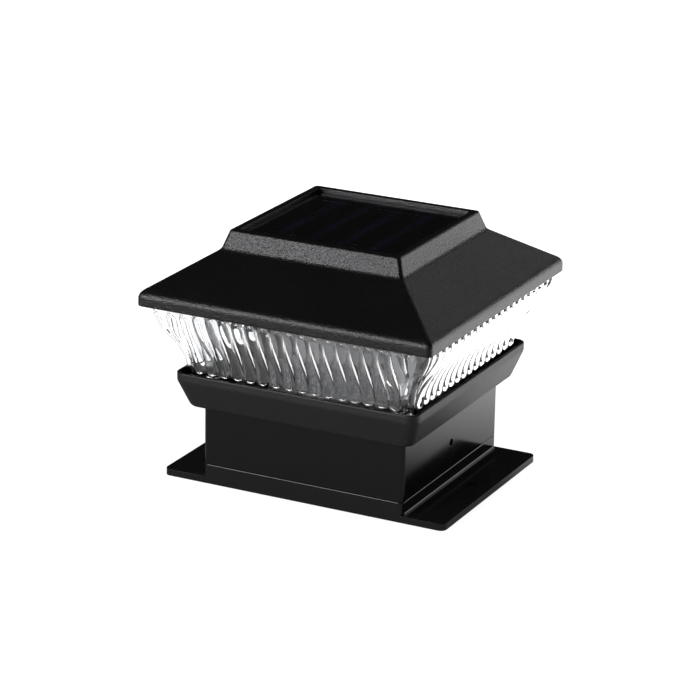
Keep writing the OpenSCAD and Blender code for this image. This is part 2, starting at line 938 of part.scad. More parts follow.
// Two insulated leads from the panel down to the circuit board
module panel_leads() {
  n = 10;
  low = pcb_z + pcb_t;
  color([0.6, 0.1, 0.1])
    for (x = [-1, 1])
      tube(
        [
          [x * lead_gap, cable_y, low],
          for (i = [0:n])
            let (t = i / n)
            [
              x * (lead_gap + lead_bow * sin(180 * t)),
              cable_y,
              low + lead_end + t * (board_z - low - 2 * lead_end)
            ],
          [x * lead_gap, cable_y, board_z]
        ],
        [0, 1, 0],
        lead_r,
        lead_sides
      );
}

module battery() {
  cell_l = battery_len - button_h;
  color([0.2, 0.45, 0.25])
    translate([battery_x, -battery_y, battery_z])
      rotate([0, 90, 0]) {
        cylinder(h = cell_l, r = battery_r);
        cylinder(h = battery_len, r = button_r);
      }
}

module switch_body() {
  z = drum_z + drum_wall;
  color([0.7, 0.7, 0.72])
    translate([switch_x, switch_y, z])
      difference() {
        block(switch_w, switch_d, pcb_gap, seat);
        translate([0, 0, -over])
          block(knob_head_w + switch_travel + 2 * seat, knob_head_d + 2 * seat, knob_in + seat + over, seat);
      }
}

// Switch knob, drawn at the left end of its travel, with a head that the drum's floor holds
module switch_knob() {
  color([0.08, 0.08, 0.08])
    translate([switch_x - switch_travel / 2, switch_y, drum_z]) {
      translate([0, 0, -seat - pad_h])
        block(pad_w, pad_d, pad_h, seat);
      translate([-knob_w / 2, -knob_d / 2, -seat - pad_h / 2])
        cube([knob_w, knob_d, drum_wall + knob_in + seat + pad_h / 2]);
      translate([0, 0, drum_wall + knob_in - knob_head_h])
        block(knob_head_w, knob_head_d, knob_head_h, seat);
    }
}

// Battery door with its hinge barrel, stub pins and finger catch
module battery_door() {
  y0 = -battery_y - door_d / 2;
  color([0.5, 0.5, 0.5])
    union() {
      rotate([90, 0, 90])
        linear_extrude(door_w, center = true)
          polygon([
            [y0, drum_z],
            [y0 + door_d, drum_z],
            [y0 + door_d, drum_z + door_t],
            [y0 + door_bevel, drum_z + door_t],
            [y0, drum_z + door_t - door_bevel]
          ]);
      translate([0, -hinge_y, hinge_z])
        rotate([0, 90, 0]) {
          cylinder(h = door_w, r = barrel_r, center = true);
          cylinder(h = door_w + 2 * (seat + lug_t), r = pin_r, center = true);
        }
      translate([-catch_w / 2, y0 + door_d - catch_d / 2, drum_z - seat - door_t])
        cube([catch_w, catch_d, door_t]);
      translate([-catch_w / 2, y0 + door_d - catch_d / 2, drum_z - seat - door_t])
        cube([catch_w, catch_d / 2, door_t + seat + door_t / 2]);
    }
}

// Coned spring that presses on the battery's flat end
module battery_spring() {
  n = 40;
  x0 = -bay_w / 2 + contact_t + spring_wire_r;
  x1 = battery_x - spring_wire_r;
  color([0.75, 0.75, 0.75])
    tube(
      [
        for (i = [0:n])
          let (t = i / n, a = 360 * spring_turns * t, r = spring_big_r + (spring_small_r - spring_big_r) * t)
          [x0 + (x1 - x0) * t, -battery_y + r * cos(a), battery_z + r * sin(a)]
      ],
      [1, 0, 0],
      spring_wire_r,
      lead_sides
    );
}

module battery_contacts() {
  color([0.75, 0.75, 0.75])
    for (x = [-1, 1])
      translate([x * (bay_w - contact_t) / 2, -battery_y, 0]) {
        translate([-contact_t / 2, -contact_w / 2, battery_z - contact_w / 2])
          cube([contact_t, contact_w, contact_w]);
        translate([-contact_t / 2, -tab_w / 2, battery_z])
          cube([contact_t, tab_w, drum_z + drum_wall + bay_h + tab_h - battery_z]);
      }
}

// Leads from the battery's contacts over the bay's wall to the circuit board
module battery_leads() {
  n = 12;
  top = drum_z + drum_wall + bay_h + tab_h;
  low = pcb_z + pcb_t;
  start = (bay_w - contact_t) / 2;
  end = start - (bay_w / 2 - pcb_screw_x + standoff_r);
  color([0.1, 0.1, 0.1])
    for (x = [-1, 1])
      tube(
        [
          [x * start, -battery_y, top],
          for (i = [0:n])
            let (
              t = i / n,
              y = -battery_y + (battery_y - pcb_screw_front / 2) * (1 - cos(180 * t)) / 2,
              z = top + lead_end + (low - top) * t + (lead_rise + (top - low) / 2) * sin(180 * t)
            )
            [x * (start + (end - start) * t), y, z],
          [x * end, -pcb_screw_front / 2, low]
        ],
        [1, 0, 0],
        lead_r,
        lead_sides
      );
}

base_adapter();
post_sleeve();
tray_screws();
lens_tray();
reflector_cone();
lens();
lens_screws();
lens_gasket();
roof_shell();
roof_screws();
lamp_housing();
panel_seal();
panel_board();
solar_cells();
cell_busbars();
panel_cover();
circuit_board();
board_screws();
driver_parts();
led_lamps();
panel_leads();
battery();
battery_spring();
battery_contacts();
battery_leads();
battery_door();
switch_body();
switch_knob();
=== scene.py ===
# Deck post cap light: looks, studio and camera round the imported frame.
import math

import bmesh
import bpy
from mathutils import Matrix, Vector


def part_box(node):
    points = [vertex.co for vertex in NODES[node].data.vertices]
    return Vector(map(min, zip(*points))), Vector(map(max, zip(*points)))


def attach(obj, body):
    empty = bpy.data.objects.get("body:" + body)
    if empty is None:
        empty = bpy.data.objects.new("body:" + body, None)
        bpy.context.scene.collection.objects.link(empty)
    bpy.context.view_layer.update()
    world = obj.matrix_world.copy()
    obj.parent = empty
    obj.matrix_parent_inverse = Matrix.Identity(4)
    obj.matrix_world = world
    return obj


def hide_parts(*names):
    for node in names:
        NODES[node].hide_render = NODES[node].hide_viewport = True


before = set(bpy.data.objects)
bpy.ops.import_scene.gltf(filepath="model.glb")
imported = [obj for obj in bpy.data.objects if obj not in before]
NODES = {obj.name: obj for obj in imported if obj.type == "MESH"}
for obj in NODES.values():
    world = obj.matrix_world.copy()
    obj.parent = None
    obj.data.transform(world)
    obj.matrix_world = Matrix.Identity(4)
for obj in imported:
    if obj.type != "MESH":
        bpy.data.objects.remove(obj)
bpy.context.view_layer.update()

MM = 0.001


def cad(node, end, axis):
    """One side of a CAD node's box in millimetres, low at end 0 and high at end 1."""
    return round(getattr(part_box(node)[end], axis) / MM, 3)


# Shading helpers

class Sheet:
    """One node tree, with short calls for the nodes that every finish uses."""

    def __init__(self, tree):
        self.tree = tree

    def add(self, kind, ins=(), **settings):
        node = self.tree.nodes.new("ShaderNode" + kind)
        for key, value in settings.items():
            setattr(node, key, value)
        for key, value in dict(ins).items():
            self.feed(node.inputs[key], value)
        return node

    def feed(self, socket, value):
        """Links a node's output to the socket, or sets the socket to a plain value."""
        if hasattr(value, "is_output"):
            self.tree.links.new(value, socket)
        else:
            socket.default_value = value

    def math(self, op, a, b=0.0, clamp=False):
        return self.add("Math", {0: a, 1: b}, operation=op, use_clamp=clamp).outputs[0]

    def weighed(self, a, share_a, b, share_b, clamp=False):
        """Two values added in stated shares."""
        return self.math("ADD", self.math("MULTIPLY", a, share_a), self.math("MULTIPLY", b, share_b), clamp)

    def between(self, low, high, share):
        """The value a share of the way from low to high."""
        return self.math("ADD", low, self.math("MULTIPLY", self.math("SUBTRACT", high, low), share))

    def noise(self, where, scale, detail=2.0, rough=0.5, dist=0.0):
        ins = {"Vector": where, "Scale": scale, "Detail": detail, "Roughness": rough, "Distortion": dist}
        return self.add("TexNoise", ins).outputs["Fac"]

    def remap(self, value, from_low, from_high, to_low=0.0, to_high=1.0):
        """The value stretched from one span to another, and held inside the second."""
        ins = {"Value": value, "From Min": from_low, "From Max": from_high}
        ins.update({"To Min": to_low, "To Max": to_high})
        return self.add("MapRange", ins, clamp=True).outputs[0]

    def blend(self, share, a, b):
        node = self.add("Mix", data_type="RGBA", blend_type="MIX")
        self.feed(node.inputs[0], share)
        self.feed(node.inputs[6], a)
        self.feed(node.inputs[7], b)
        return node.outputs[2]

    def place(self, scale=(1, 1, 1), turn=(0, 0, 0)):
        where = self.add("TexCoord").outputs["Object"]
        return self.add("Mapping", {"Vector": where, "Scale": scale, "Rotation": turn}).outputs[0]


def rgb(r, g, b):
    return (r, g, b, 1.0)


def new_material(name):
    """An empty material and its sheet."""
    mat = bpy.data.materials.new(name)
    mat.use_nodes = True
    mat.node_tree.nodes.clear()
    return mat, Sheet(mat.node_tree)


def new_effect(name, *ins):
    """An empty effect group that gives colour, roughness and height, with its sheet, input and output."""
    tree = bpy.data.node_groups.new(name, "ShaderNodeTree")
    for label, kind, start in ins:
        socket = tree.interface.new_socket(label, in_out="INPUT", socket_type="NodeSocket" + kind)
        socket.default_value = start
    for label, kind in (("Color", "Color"), ("Roughness", "Float"), ("Height", "Float")):
        tree.interface.new_socket(label, in_out="OUTPUT", socket_type="NodeSocket" + kind)
    return tree, Sheet(tree), tree.nodes.new("NodeGroupInput"), tree.nodes.new("NodeGroupOutput")


def give(s, out, color, roughness, height):
    """Feeds the three outputs of an effect group."""
    s.feed(out.inputs["Color"], color)
    s.feed(out.inputs["Roughness"], roughness)
    s.feed(out.inputs["Height"], height)


def moulded_grain():
    """Spark-eroded mould texture: pebbles of a stated size, and slow colour and gloss drift."""
    tree, s, given, out = new_effect(
        "moulded grain", ("Pebble", "Float", 1600.0), ("Dark", "Color", rgb(0.01, 0.01, 0.01)),
        ("Light", "Color", rgb(0.03, 0.03, 0.03)), ("Smooth", "Float", 0.4), ("Coarse", "Float", 0.55))
    where, size = s.place(), given.outputs["Pebble"]
    fine = s.noise(where, size, 3.0, 0.6)
    pebble = s.add("TexVoronoi", {"Vector": where, "Scale": size}, feature="SMOOTH_F1").outputs["Distance"]
    drift = s.noise(where, 22.0, 3.0)
    height = s.weighed(fine, 0.7, pebble, 0.45)
    fleck = s.remap(height, 0.35, 0.85)
    color = s.blend(s.weighed(fleck, 0.6, drift, 0.4), given.outputs["Dark"], given.outputs["Light"])
    wear = s.weighed(fleck, 0.5, drift, 0.5)
    give(s, out, color, s.between(given.outputs["Smooth"], given.outputs["Coarse"], wear), height)
    return tree


def gloss_skin():
    """Polished mould skin: faint flow waves, specks of dust and a few hairlines."""
    tree, s, given, out = new_effect(
        "gloss skin", ("Dark", "Color", rgb(0.01, 0.01, 0.01)), ("Light", "Color", rgb(0.02, 0.02, 0.02)),
        ("Smooth", "Float", 0.12), ("Coarse", "Float", 0.3))
    where = s.place()
    flow = s.noise(s.place((1, 1, 0.35)), 30.0, 3.0, 0.5, 0.6)
    cloud = s.noise(where, 90.0, 4.0)
    speck = s.remap(s.noise(where, 1900.0, 1.0), 0.7, 0.78)
    hair = s.remap(s.noise(s.place((40, 1, 40), (0.3, 0.2, 0.6)), 60.0, 2.0), 0.66, 0.72)
    dull = s.weighed(speck, 0.5, s.math("ADD", cloud, hair), 0.25, True)
    color = s.blend(dull, given.outputs["Dark"], given.outputs["Light"])
    roughness = s.between(given.outputs["Smooth"], given.outputs["Coarse"], dull)
    give(s, out, color, roughness, s.weighed(flow, 0.8, cloud, 0.2))
    return tree


def metal_skin():
    """Plated or drawn metal: fine lines along one way, pits and slow tarnish."""
    tree, s, given, out = new_effect(
        "metal skin", ("Bright", "Color", rgb(0.7, 0.7, 0.7)), ("Dull", "Color", rgb(0.5, 0.5, 0.5)),
        ("Smooth", "Float", 0.2), ("Coarse", "Float", 0.45))
    lines = s.noise(s.place((60, 1, 60)), 40.0, 3.0)
    tarnish = s.noise(s.place(), 160.0, 4.0)
    mask = s.remap(s.weighed(lines, 0.5, tarnish, 0.5), 0.35, 0.65)
    color = s.blend(mask, given.outputs["Bright"], given.outputs["Dull"])
    give(s, out, color, s.between(given.outputs["Smooth"], given.outputs["Coarse"], mask), mask)
    return tree


GRAIN, SKIN, METAL = moulded_grain(), gloss_skin(), metal_skin()


def finish_of(name, group, values, depth, plain):
    """A material: one effect group into a Principled shader with plain values on its other sockets."""
    mat, s = new_material(name)
    out = s.add("OutputMaterial")
    shader = s.add("BsdfPrincipled", plain)
    effect = s.add("Group", node_tree=group)
    for key, value in values.items():
        effect.inputs[key].default_value = value
    s.feed(shader.inputs["Base Color"], effect.outputs["Color"])
    s.feed(shader.inputs["Roughness"], effect.outputs["Roughness"])
    bump = s.add("Bump", {"Strength": 1.0, "Distance": depth, "Height": effect.outputs["Height"]})
    s.feed(shader.inputs["Normal"], bump.outputs[0])
    s.feed(out.inputs["Surface"], shader.outputs[0])
    return mat


def grained(name, dark, light, smooth, coarse, pebble=1600.0, depth=0.06 * MM):
    values = {"Pebble": pebble, "Dark": rgb(*dark), "Light": rgb(*light), "Smooth": smooth, "Coarse": coarse}
    return finish_of(name, GRAIN, values, depth, {})


def polished(name, dark, light, smooth, coarse, depth=0.02 * MM, **plain):
    values = {"Dark": rgb(*dark), "Light": rgb(*light), "Smooth": smooth, "Coarse": coarse}
    return finish_of(name, SKIN, values, depth, plain)


def plated(name, bright, dull, smooth, coarse, metal=1.0):
    values = {"Bright": rgb(*bright), "Dull": rgb(*dull), "Smooth": smooth, "Coarse": coarse}
    return finish_of(name, METAL, values, 0.004 * MM, {"Metallic": metal})


def glass(share, ior):
    """The plain sockets that make a polished finish see-through."""
    return {"Transmission Weight": share, "IOR": ior}


# Finishes, each from its darker to its lighter colour and from its smooth to its coarse places

roof_black = grained(
    "roof black", (0.0022, 0.0022, 0.0023), (0.008, 0.008, 0.0082), 0.24, 0.4, 1300.0, 0.32 * MM)
tray_black = grained(
    "tray black", (0.006, 0.006, 0.006), (0.014, 0.014, 0.0144), 0.38, 0.55, 1300.0, 0.14 * MM)
sleeve_black = polished("sleeve black", (0.0025, 0.0025, 0.0027), (0.007, 0.007, 0.0073), 0.12, 0.28)
base_black = polished("base black", (0.006, 0.006, 0.0064), (0.012, 0.012, 0.0125), 0.1, 0.26)
housing_grey = grained(
    "housing grey", (0.34, 0.34, 0.345), (0.42, 0.42, 0.425), 0.38, 0.5, 2400.0, 0.02 * MM)
clear_lens = polished(
    "clear lens", (0.98, 0.985, 0.99), (0.94, 0.95, 0.96), 0.0, 0.05, 0.012 * MM, **glass(1.0, 1.49))
panel_clear = polished(
    "panel clear", (0.3, 0.3, 0.34), (0.25, 0.25, 0.29), 0.04, 0.12, 0.01 * MM, **glass(1.0, 1.5))
mirror_silver = plated("reflector silver", (0.8, 0.8, 0.82), (0.68, 0.68, 0.7), 0.18, 0.34, 0.6)
screw_steel = plated("screw zinc", (0.62, 0.62, 0.63), (0.42, 0.42, 0.43), 0.25, 0.5)
spring_steel = plated("spring nickel", (0.7, 0.69, 0.66), (0.5, 0.49, 0.47), 0.2, 0.4)
switch_metal = plated("switch case", (0.6, 0.6, 0.61), (0.45, 0.45, 0.46), 0.3, 0.5)
busbar_silver = plated("busbar silver", (0.85, 0.85, 0.86), (0.5, 0.5, 0.52), 0.4, 0.6)
gasket_black = grained("gasket black", (0.01, 0.01, 0.01), (0.02, 0.02, 0.02), 0.7, 0.9, 1800.0)
seal_foam = grained(
    "seal foam", (0.008, 0.008, 0.008), (0.03, 0.03, 0.03), 0.85, 1.0, 1400.0, 0.2 * MM)
board_green = polished("board green", (0.008, 0.06, 0.025), (0.02, 0.1, 0.04), 0.25, 0.45)
panel_board = polished("panel laminate", (0.006, 0.006, 0.007), (0.012, 0.012, 0.014), 0.3, 0.5)
chip_black = grained(
    "chip black", (0.01, 0.01, 0.011), (0.025, 0.025, 0.026), 0.5, 0.7, 3000.0, 0.02 * MM)
lamp_amber = polished("lamp amber", (0.95, 0.8, 0.5), (0.85, 0.7, 0.4), 0.08, 0.2, **glass(0.7, 1.5))
lead_red = polished("lead red", (0.35, 0.012, 0.01), (0.45, 0.03, 0.02), 0.35, 0.5)
lead_black = polished("lead black", (0.012, 0.012, 0.012), (0.03, 0.03, 0.03), 0.35, 0.5)
battery_wrap = polished("battery wrap", (0.01, 0.09, 0.03), (0.02, 0.14, 0.05), 0.2, 0.35)
knob_black = grained(
    "knob black", (0.01, 0.01, 0.01), (0.025, 0.025, 0.025), 0.4, 0.6, 2600.0, 0.03 * MM)


def cell_finish():
    """Near-black silicon with a dim violet-blue band down the middle of each cell, a painted sheen."""
    count, black_edge, full_band = 4, 4.6 * MM, 6.6 * MM
    black, violet = rgb(0.003, 0.0025, 0.004), rgb(0.2, 0.13, 0.42)
    mat, s = new_material("cell violet")
    low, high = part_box("solar_cells")
    half = (high.x - low.x) / count / 2
    x = s.add("SeparateXYZ", {0: s.place()}).outputs[0]
    # band is 1 down the middle of each cell: a painted sheen laid into the base colour.
    band = s.remap(s.math("PINGPONG", s.math("SUBTRACT", x, low.x), half), black_edge, full_band)
    mottle = s.noise(s.place(), 240.0, 3.0)
    patch = s.remap(s.noise(s.place(), 26.0, 2.0), 0.35, 0.65, 0.45, 1.0)
    uneven = s.math("MULTIPLY", patch, s.remap(mottle, 0.3, 0.7, 0.7, 1.0))
    color = s.blend(s.math("MULTIPLY", band, uneven), black, violet)
    ins = {"Base Color": color, "Roughness": s.remap(mottle, 0.3, 0.7, 0.25, 0.4)}
    s.feed(s.add("OutputMaterial").inputs["Surface"], s.add("BsdfPrincipled", ins).outputs[0])
    return mat


FINISH = {
    "base_adapter": base_black, "post_sleeve": sleeve_black, "tray_screws": screw_steel,
    "lens_tray": tray_black, "reflector_cone": mirror_silver, "lens": clear_lens,
    "lens_screws": screw_steel, "lens_gasket": gasket_black, "roof_shell": roof_black,
    "roof_screws": screw_steel, "lamp_housing": housing_grey, "panel_seal": seal_foam,
    "panel_board": panel_board, "solar_cells": cell_finish(), "cell_busbars": busbar_silver,
    "panel_cover": panel_clear, "circuit_board": board_green, "board_screws": screw_steel,
    "driver_parts": chip_black, "led_lamps": lamp_amber, "panel_leads": lead_red,
    "battery": battery_wrap, "battery_spring": spring_steel, "battery_contacts": spring_steel,
    "battery_leads": lead_black, "battery_door": housing_grey, "switch_body": switch_metal,
    "switch_knob": knob_black,
}
for node, mat in FINISH.items():
    NODES[node].data.materials.clear()
    NODES[node].data.materials.append(mat)


# Mesh helpers, with sizes in millimetres

MERGE = 0.01 * MM
FINE_MERGE = 0.002 * MM
ARC = 7
EASE = 0.25
QUARTER_COS, QUARTER_SIN = (1, 0, -1, 0), (0, 1, 0, -1)


def points_of(made):
    return [g for g in made if isinstance(g, bmesh.types.BMVert)]


def edges_of(made):
    return [g for g in made if isinstance(g, bmesh.types.BMEdge)]


def linked(name, mesh):
    """An object of a mesh, linked to the scene at the origin."""
    piece = bpy.data.objects.new(name, mesh)
    bpy.context.scene.collection.objects.link(piece)
    return piece


def mesh_from(bm, name):
    mesh = bpy.data.meshes.new(name)
    bm.to_mesh(mesh)
    bm.free()
    return mesh


def settle(bm, name, mat, body, replaced=(), sharp=32.0, flat_faces=True):
    """Turns a bmesh into a finished piece: smooth faces, hard edges past an angle, finish and body."""
    limit = math.radians(sharp)
    for face in bm.faces:
        face.smooth = True
    for edge in bm.edges:
        if len(edge.link_faces) == 2:
            edge.smooth = edge.calc_face_angle(0.0) < limit
    piece = linked(name, mesh_from(bm, name))
    piece.data.materials.append(mat)
    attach(piece, body)
    if replaced:
        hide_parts(*replaced)
    if flat_faces:
        piece.modifiers.new("flat faces", "WEIGHTED_NORMAL").keep_sharp = True
    return piece


def tagged_circle(segments):
    """A new bmesh with one circle, whose points know their place on it through every extrusion."""
    bm = bmesh.new()
    tag = bm.verts.layers.int.new("place")
    verts = bmesh.ops.create_circle(bm, segments=segments, radius=1.0)["verts"]
    for n, v in enumerate(sorted(verts, key=lambda v: math.atan2(v.co.y, v.co.x) % math.tau)):
        v[tag] = n
    return bm


def pull(bm, ring):
    """Extrudes a ring of edges and gives back the new ring and its points."""
    made = bmesh.ops.extrude_edge_only(bm, edges=ring)["geom"]
    return edges_of(made), points_of(made)


def rounded_ring(bm, verts, half, radius, z, shift=0.0):
    """Moves a ring of points on to a rounded square of a stated half width, corner radius and height."""
    tag = bm.verts.layers.int["place"]
    straight = half - radius
    for v in verts:
        quarter, k = divmod(v[tag], ARC + 3)
        t = math.radians(90.0 * min(max(k - 1, 0), ARC) / ARC)
        x = straight + radius * math.cos(t) - (EASE if k == ARC + 2 else 0.0)
        y = straight + radius * math.sin(t) - (EASE if k == 0 else 0.0)
        c, s = QUARTER_COS[quarter], QUARTER_SIN[quarter]
        v.co = ((c * x - s * y) * MM, (s * x + c * y + shift) * MM, z * MM)


def square_loft(rings, joined=False):
    """Extrudes one rounded square through rings of half width, corner radius, height and shift."""
    bm = tagged_circle(4 * (ARC + 3))
    ring = first = bm.edges[:]
    rounded_ring(bm, bm.verts[:], *rings[0])
    for spot in rings[1:]:
        ring, verts = pull(bm, ring)
        rounded_ring(bm, verts, *spot)
    if joined:
        bmesh.ops.bridge_loops(bm, edges=first + ring)
    else:
        bmesh.ops.holes_fill(bm, edges=first + ring)
    bmesh.ops.recalc_face_normals(bm, faces=bm.faces[:])
    return bm


def round_over(a, b, c, steps):
    """Points of half width and height that round the corner b between a and c."""
    spots = []
    for k in range(steps + 1):
        t = k / steps
        spots.append(tuple((1 - t) ** 2 * p + 2 * t * (1 - t) * q + t * t * r for p, q, r in zip(a, b, c)))
    return spots


def spun(bm, profile, steps):
    """Turns a closed profile of radius and height round the z axis, with no wall on the axis itself."""
    verts = [bm.verts.new((x * MM, 0, z * MM)) for x, z in profile]
    pairs = zip(verts, verts[1:] + verts[:1])
    edges = [bm.edges.new(pair) for pair in pairs if max(v.co.x for v in pair) > 0.0]
    bmesh.ops.spin(
        bm, geom=verts + edges, cent=(0, 0, 0), axis=(0, 0, 1), angle=math.tau, steps=steps, use_merge=True)
    bmesh.ops.remove_doubles(bm, verts=bm.verts[:], dist=MERGE)
    bmesh.ops.recalc_face_normals(bm, faces=bm.faces[:])


def upright(bm, x, y, low, high, radius, top_radius=None, turn=0.0):
    """A round peg between two heights, turned round the z axis with its place."""
    spot = Matrix.Rotation(turn, 4, "Z") @ Matrix.Translation((x * MM, y * MM, (low + high) / 2 * MM))
    bmesh.ops.create_cone(
        bm, cap_ends=True, segments=40, radius1=radius * MM, radius2=(top_radius or radius) * MM,
        depth=(high - low) * MM, matrix=spot)


def block(size_x, size_y, low, high, radius):
    """A block between two heights with round upright corners."""
    bm = bmesh.new()
    bmesh.ops.create_cube(bm, size=1.0)
    bmesh.ops.scale(bm, verts=bm.verts[:], vec=(size_x * MM, size_y * MM, (high - low) * MM))
    bmesh.ops.translate(bm, verts=bm.verts[:], vec=(0, 0, (low + high) / 2 * MM))
    tall = [e for e in bm.edges if abs(e.verts[0].co.z - e.verts[1].co.z) > 0.5 * (high - low) * MM]
    bmesh.ops.bevel(
        bm, geom=tall, offset=radius * MM, offset_type="OFFSET", affect="EDGES", segments=8, profile=0.5,
        material=-1)
    return bm


def drill(radius, low, high, x):
    """A round bit that stands at a place along the x axis."""
    bm = bmesh.new()
    upright(bm, x, 0.0, low, high, radius)
    return bm


def cut_from(start, bits):
    """Cuts solids out of a first one in turn, and gives back the result as a new bmesh."""
    tools = [linked("tool", mesh_from(bm, "tool")) for bm in [start] + bits]
    for tool in tools[1:]:
        cut = tools[0].modifiers.new("cut", "BOOLEAN")
        cut.operation, cut.object, cut.solver = "DIFFERENCE", tool, "EXACT"
    ready = tools[0].evaluated_get(bpy.context.evaluated_depsgraph_get())
    result = bmesh.new()
    result.from_mesh(ready.to_mesh())
    ready.to_mesh_clear()
    for tool in tools:
        mesh = tool.data
        bpy.data.objects.remove(tool)
        bpy.data.meshes.remove(mesh)
    return result


def ease(bm, width, steps=2):
    """Joins the facets of flat faces and rounds every hard edge."""
    flat, sharp = math.radians(1.0), math.radians(30.0)
    bmesh.ops.remove_doubles(bm, verts=bm.verts[:], dist=FINE_MERGE)
    bmesh.ops.dissolve_limit(bm, angle_limit=flat, verts=bm.verts[:], edges=bm.edges[:])
    hard = [e for e in bm.edges if len(e.link_faces) == 2 and e.calc_face_angle(0.0) > sharp]
    bmesh.ops.bevel(
        bm, geom=hard, offset=width * MM, offset_type="OFFSET", affect="EDGES", segments=steps, profile=0.5,
        material=-1, clamp_overlap=True)


def eased_copy(node, name, body, width, above=None):
    """A copy of a CAD node with its hard edges rounded, cut off below a stated height if one is given."""
    bm = bmesh.new()
    bm.from_mesh(NODES[node].data)
    bmesh.ops.remove_doubles(bm, verts=bm.verts[:], dist=FINE_MERGE)
    if above is not None:
        cut = bmesh.ops.bisect_plane(
            bm, geom=bm.verts[:] + bm.edges[:] + bm.faces[:], plane_co=(0, 0, above * MM),
            plane_no=(0, 0, 1), clear_inner=True)["geom_cut"]
        bmesh.ops.triangle_fill(bm, edges=edges_of(cut), use_beauty=True, normal=(0, 0, -1))
    ease(bm, width)
    return settle(bm, name, FINISH[node], body, (node,), 40.0)


# Roof

ROOF_HALF, RIM_Z, TOP_Z = cad("roof_shell", 1, "x"), cad("roof_shell", 0, "z"), cad("roof_shell", 1, "z")
PLATE_TOP, GASKET_TOP = cad("lamp_housing", 1, "z"), cad("lens_gasket", 1, "z")
ROOF_WALL, RIM_H, FRAME_H = 2.2, 6.0, 8.8
FOOT_HALF, FACE_HALF, WELL_HALF = 45.6, 42.6, 39.0
SHOULDER_Z, FRAME_Z = RIM_Z + RIM_H, TOP_Z - FRAME_H
SLOPE = (FRAME_Z - SHOULDER_Z) / (ROOF_HALF - FOOT_HALF)
INNER_R = 1.2


def slope_z(x):
    return SHOULDER_Z + SLOPE * (ROOF_HALF - x)


def roof_outside():
    """Half widths and heights up the outside, from the rim's lower edge to the mouth of the well."""
    edge_r, bend_z, bend_x, foot_x, foot_z, mouth_r = 0.7, 2.3, 2.1, 1.3, 1.2, 0.3
    near, far = 0.2, 0.3
    lean = (FOOT_HALF - FACE_HALF) / FRAME_H

    def on_slope(x):
        return (x, slope_z(x))

    def on_frame(rise):
        return (FOOT_HALF - rise * lean, FRAME_Z + rise)

    rim, shoulder = (ROOF_HALF, RIM_Z), (ROOF_HALF, SHOULDER_Z)
    spots = [(ROOF_HALF - ROOF_WALL, RIM_Z)]
    spots += round_over((ROOF_HALF - edge_r, RIM_Z), rim, (ROOF_HALF, RIM_Z + edge_r), 4)
    spots += [(ROOF_HALF, RIM_Z + edge_r + near), (ROOF_HALF, SHOULDER_Z - bend_z - near)]
    spots += round_over((ROOF_HALF, SHOULDER_Z - bend_z), shoulder, on_slope(ROOF_HALF - bend_x), 8)
    spots += [on_slope(ROOF_HALF - bend_x - far), on_slope(FOOT_HALF + foot_x + far)]
    spots += round_over(on_slope(FOOT_HALF + foot_x), (FOOT_HALF, FRAME_Z), on_frame(foot_z), 6)
    spots += [on_frame(foot_z + far), on_frame(FRAME_H - edge_r - far)]
    spots += round_over(on_frame(FRAME_H - edge_r), (FACE_HALF, TOP_Z), (FACE_HALF - edge_r, TOP_Z), 5)
    spots += [(FACE_HALF - edge_r - near, TOP_Z), (WELL_HALF + mouth_r + near, TOP_Z)]
    mouth, wall = (WELL_HALF, TOP_Z), (WELL_HALF, TOP_Z - mouth_r)
    return spots + round_over((WELL_HALF + mouth_r, TOP_Z), mouth, wall, 3)


def make_roof():
    """One closed skin: rim, slope, raised frame, panel well with its cable hole, and the hollow below."""
    rim_r, frame_r, rib_t, play = 2.2, 1.8, 1.6, 0.3
    well_z, well_t, well_wall = cad("panel_seal", 0, "z"), 2.0, 1.6
    hole_half, hole_y, under_half = 4.0, 10.0, 43.4
    rings = []
    for x, z in roof_outside():
        share = max(0.0, x - FOOT_HALF) / (ROOF_HALF - FOOT_HALF)
        radius = frame_r + (rim_r - frame_r) * share
        if z > TOP_Z - 0.8 and x < FACE_HALF:
            radius = max(INNER_R, frame_r - (FACE_HALF - x))
        rings.append((x, radius, z))
    rings += [(WELL_HALF, INNER_R, TOP_Z - 0.6), (WELL_HALF, INNER_R, well_z)]
    rings += [(hole_half, hole_half, z, hole_y) for z in (well_z, well_z - well_t)]
    drop = ROOF_WALL * math.sqrt(1 + SLOPE ** 2)
    rib_half, rib_top = ROOF_HALF - ROOF_WALL - rib_t, PLATE_TOP + play
    meet = ROOF_HALF - (rib_top - SHOULDER_Z + drop) / SLOPE
    rings += [(WELL_HALF + well_wall, INNER_R, well_z - well_t)]
    rings += [(under_half, INNER_R, slope_z(under_half) - drop), (meet, INNER_R, rib_top)]
    rings += [(rib_half, INNER_R, rib_top), (rib_half, INNER_R, GASKET_TOP)]
    rings += [(ROOF_HALF - ROOF_WALL, INNER_R, GASKET_TOP)]
    settle(square_loft(rings, True), "roof", roof_black, "head", ("roof_shell",))


def make_roof_bosses():
    """Four posts under the roof's slopes that take the screws through the lamp housing's plate."""
    screw_head, radius = 2.8, 3.6
    at = cad("roof_screws", 1, "x") - screw_head
    bm = bmesh.new()
    for quarter in range(4):
        upright(bm, at, 0.0, PLATE_TOP + 0.1, slope_z(at + radius) - 0.5, radius, turn=math.tau / 4 * quarter)
    settle(bm, "roof_bosses", roof_black, "head")


make_roof()
make_roof_bosses()


# Tray, with the reflector in it

TRAY_LOW, TRAY_TOP, TRAY_HALF = cad("lens_tray", 0, "z"), cad("lens_tray", 1, "z"), cad("lens_tray", 1, "x")
FLOOR_Z, CONE_R = cad("reflector_cone", 0, "z"), cad("reflector_cone", 1, "x")
SEAT_Z = cad("lens", 0, "z")
LIP_WALL, CONE_WALL = 1.6, 1.2


